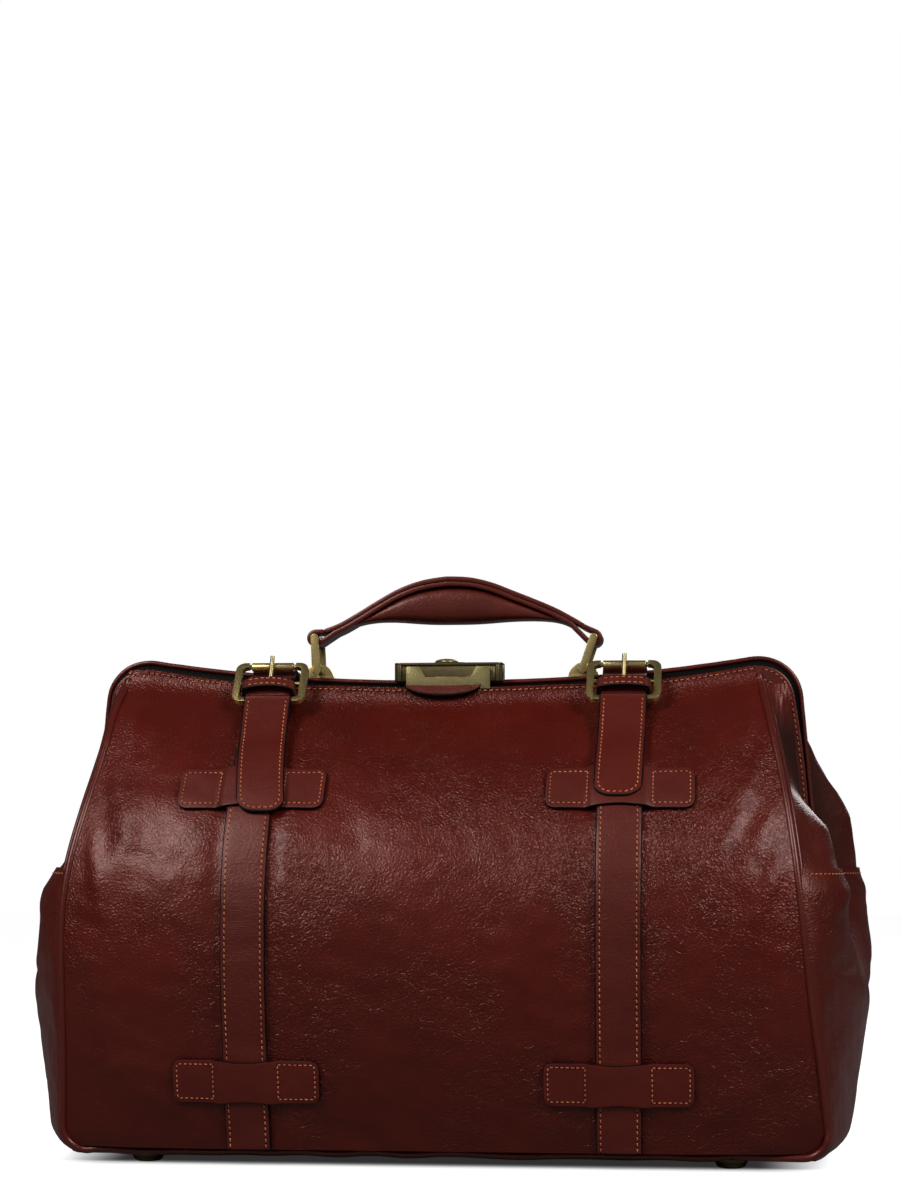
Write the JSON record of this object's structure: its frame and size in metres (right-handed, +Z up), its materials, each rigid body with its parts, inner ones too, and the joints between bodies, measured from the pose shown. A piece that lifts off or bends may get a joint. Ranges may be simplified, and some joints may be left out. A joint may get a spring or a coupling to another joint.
{
  "type": "travel bag",
  "caption": "Wide-mouthed leather travel bag: hinged two-half frame with a dipped top, folded gussets, buckled straps, swinging handle, slide lock and stud feet.",
  "frame": {"origin": "under the middle of the bag, on the floor that its feet stand on", "axes": "+X along the bag to the viewer's right, -Y out of the front with the buckles, +Z up"},
  "size_m": [0.5434, 0.247, 0.3688],
  "materials": {
    "body_leather": "glossy pebbled leather, deep reddish brown",
    "strap_leather": "smooth waxed leather with painted black edges",
    "lining": "plain woven cotton lining",
    "board": "pressed fibre board",
    "brass": "brushed antique brass",
    "bronze": "dark antique brass",
    "stud_metal": "dark antique brass, worn on the dome",
    "black_steel": "black lacquered steel",
    "steel": "plain steel"
  },
  "bodies": {
    "bag": {"front_panel": "body_leather", "back_panel": "body_leather", "gusset_left": "body_leather", "gusset_right": "body_leather", "gusset_patch_left": "body_leather", "gusset_patch_right": "body_leather", "piping_front": "body_leather", "piping_back": "body_leather", "bottom_panel": "body_leather", "base_board": "board", "feet": "stud_metal", "foot_washers": "steel", "lining_tub": "lining", "lining_front": "lining", "lining_back": "lining", "front_straps": "strap_leather", "back_straps": "strap_leather", "front_upper_tabs": "strap_leather", "front_lower_tabs": "strap_leather", "back_upper_tabs": "strap_leather", "back_lower_tabs": "strap_leather", "hinge_pins": "steel"},
    "front_frame": {"front_frame_bar": "black_steel", "front_binding": "body_leather", "lock_front_plate": "brass", "pull_tab": "strap_leather", "left_buckle": "brass", "right_buckle": "brass", "strap_heads": "strap_leather", "chapes": "strap_leather", "keepers": "strap_leather"},
    "rear_frame": {"rear_frame_bar": "steel", "rear_binding": "body_leather", "handle_lugs": "brass", "lock_case": "bronze", "lock_top_plate": "bronze", "strap_bridges": "strap_leather"},
    "left_ring": {"left_ring": "brass"},
    "right_ring": {"right_ring": "brass"},
    "handle": {"handle_strap": "strap_leather", "handle_grip": "strap_leather"},
    "lock_slider": {"lock_button": "brass", "latch_bar": "steel"},
    "left_roller": {"left_roller": "brass"},
    "right_roller": {"right_roller": "brass"},
    "left_prong": {"left_prong": "brass"},
    "right_prong": {"right_prong": "brass"},
    "left_tip": {"left_tip": "strap_leather"},
    "right_tip": {"right_tip": "strap_leather"}
  },
  "joints": [
    {"name": "front_frame_hinge", "type": "hinge", "parent": "bag", "child": "front_frame", "pos_m": [0, 0, 0.2], "axis": [1, 0, 0], "range_deg": [0, 35], "deforming": ["front_panel", "gusset_left", "gusset_right", "gusset_patch_left", "gusset_patch_right", "piping_front", "lining_front", "front_straps", "front_upper_tabs"]},
    {"name": "rear_frame_hinge", "type": "hinge", "parent": "bag", "child": "rear_frame", "pos_m": [0, 0, 0.2], "axis": [1, 0, 0], "range_deg": [-35, 0], "deforming": ["back_panel", "piping_back", "lining_back", "back_straps", "back_upper_tabs"]},
    {"name": "left_ring_swing", "type": "hinge", "parent": "rear_frame", "child": "left_ring", "pos_m": [-0.086, 0.005, 0.30814], "axis": [0, 1, 0], "range_deg": [-12, 12]},
    {"name": "handle_swing", "type": "hinge", "parent": "left_ring", "child": "handle", "pos_m": [-0.08695, 0.005, 0.32982], "axis": [0, 1, 0], "range_deg": [-12, 12]},
    {"name": "right_ring_swing", "type": "hinge", "parent": "rear_frame", "child": "right_ring", "pos_m": [0.086, 0.005, 0.30814], "axis": [0, 1, 0], "range_deg": [-14, 14]},
    {"name": "lock_slide", "type": "slide", "parent": "rear_frame", "child": "lock_slider", "axis": [1, 0, 0], "range_m": [0, 0.004]},
    {"name": "left_roller_spin", "type": "hinge", "parent": "front_frame", "child": "left_roller", "pos_m": [-0.113, -0.0145, 0.31047], "axis": [1, 0, 0], "continuous": true},
    {"name": "left_prong_lift", "type": "hinge", "parent": "front_frame", "child": "left_prong", "pos_m": [-0.113, -0.02414, 0.29898], "axis": [1, 0, 0], "range_deg": [0, 70]},
    {"name": "left_tip_lift", "type": "hinge", "parent": "front_frame", "child": "left_tip", "pos_m": [-0.113, -0.03697, 0.29225], "axis": [-1, 0, 0], "range_deg": [0, 70]},
    {"name": "right_roller_spin", "type": "hinge", "parent": "front_frame", "child": "right_roller", "pos_m": [0.113, -0.0145, 0.31047], "axis": [1, 0, 0], "continuous": true},
    {"name": "right_prong_lift", "type": "hinge", "parent": "front_frame", "child": "right_prong", "pos_m": [0.113, -0.02414, 0.29898], "axis": [1, 0, 0], "range_deg": [0, 70]},
    {"name": "right_tip_lift", "type": "hinge", "parent": "front_frame", "child": "right_tip", "pos_m": [0.113, -0.03697, 0.29225], "axis": [-1, 0, 0], "range_deg": [0, 70]}
  ],
  "couplings": [
    {"joint": "rear_frame_hinge", "follows": "front_frame_hinge", "ratio": -1},
    {"joint": "handle_swing", "follows": "left_ring_swing", "ratio": -0.953},
    {"joint": "right_ring_swing", "follows": "left_ring_swing", "ratio": 1.054}
  ]
}
